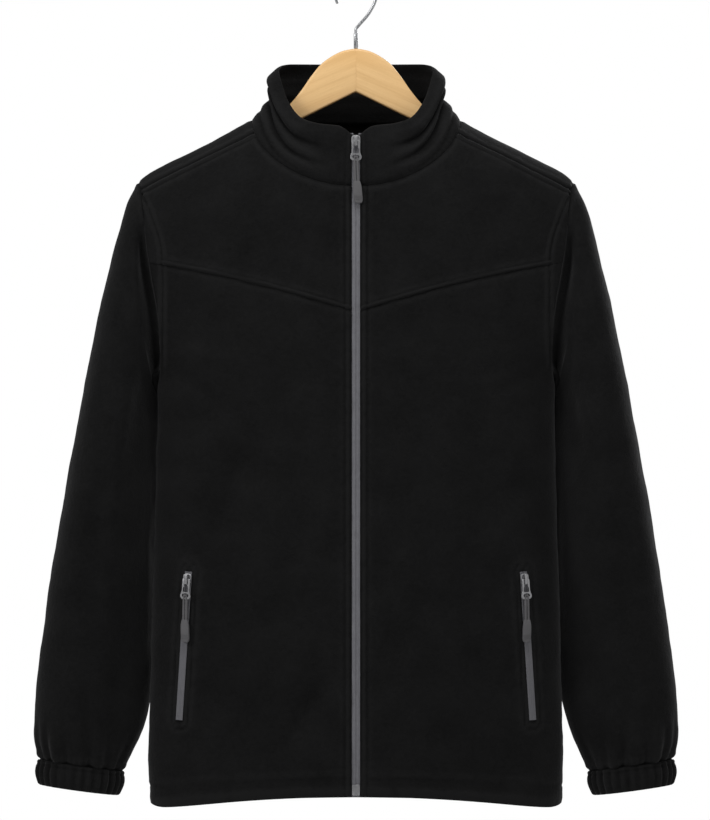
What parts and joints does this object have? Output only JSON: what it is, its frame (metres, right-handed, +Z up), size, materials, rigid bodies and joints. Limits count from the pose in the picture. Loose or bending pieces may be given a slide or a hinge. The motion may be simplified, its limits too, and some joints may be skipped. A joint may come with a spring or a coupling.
{
  "type": "zip jacket on a coat hanger",
  "caption": "Black fleece jacket with a stand collar, a full front zip and zipped side pockets, hanging on a plain wooden hanger with a wire hook.",
  "frame": {"origin": "inner top of the hanger's hook, where it rests on a rail", "axes": "+Z up, +X to the wearer's left, which is the viewer's right in front of it, and +Y to the jacket's back"},
  "size_m": [0.6882, 0.1472, 0.8935],
  "materials": {
    "fleece": "matt brushed fleece, near black",
    "zip_tape": "woven zip tape with a moulded coil, mid grey",
    "zip_cord": "woven pull strap, dark grey",
    "zip_metal": "cast zip metal, satin",
    "hanger_wood": "pale varnished wood, satin",
    "hook_steel": "plated wire, bright"
  },
  "bodies": {
    "jacket": {"back": "fleece", "collar": "fleece", "front_left": "fleece", "front_right": "fleece", "yoke_left": "fleece", "yoke_right": "fleece", "sleeve_left": "fleece", "sleeve_right": "fleece", "cuff_left": "fleece", "cuff_right": "fleece", "zip_tape_left": "zip_tape", "zip_tape_right": "zip_tape", "zip_slider": "zip_metal", "zip_box": "zip_metal", "pocket_zip_left": "zip_tape", "pocket_zip_right": "zip_tape", "pocket_slider_left": "zip_metal", "pocket_slider_right": "zip_metal", "hanger_wood": "hanger_wood", "hanger_hook": "hook_steel"},
    "zip_pull": {"zip_tab": "zip_metal", "zip_puller": "zip_cord"},
    "pocket_pull_left": {"pocket_tab_left": "zip_metal", "pocket_puller_left": "zip_cord"},
    "pocket_pull_right": {"pocket_tab_right": "zip_metal", "pocket_puller_right": "zip_cord"}
  },
  "joints": [
    {"name": "zip_pull_hinge", "type": "hinge", "parent": "jacket", "child": "zip_pull", "pos_m": [0, -0.05487, -0.17972], "axis": [-1, 0, 0], "range_deg": [0, 160]},
    {"name": "pocket_pull_left_hinge", "type": "hinge", "parent": "jacket", "child": "pocket_pull_left", "pos_m": [0.18058, -0.04985, -0.64694], "axis": [-0.9162, -0.3953, -0.0654], "range_deg": [0, 160]},
    {"name": "pocket_pull_right_hinge", "type": "hinge", "parent": "jacket", "child": "pocket_pull_right", "pos_m": [-0.18058, -0.04985, -0.64694], "axis": [-0.9162, 0.3953, 0.0654], "range_deg": [0, 160]}
  ]
}
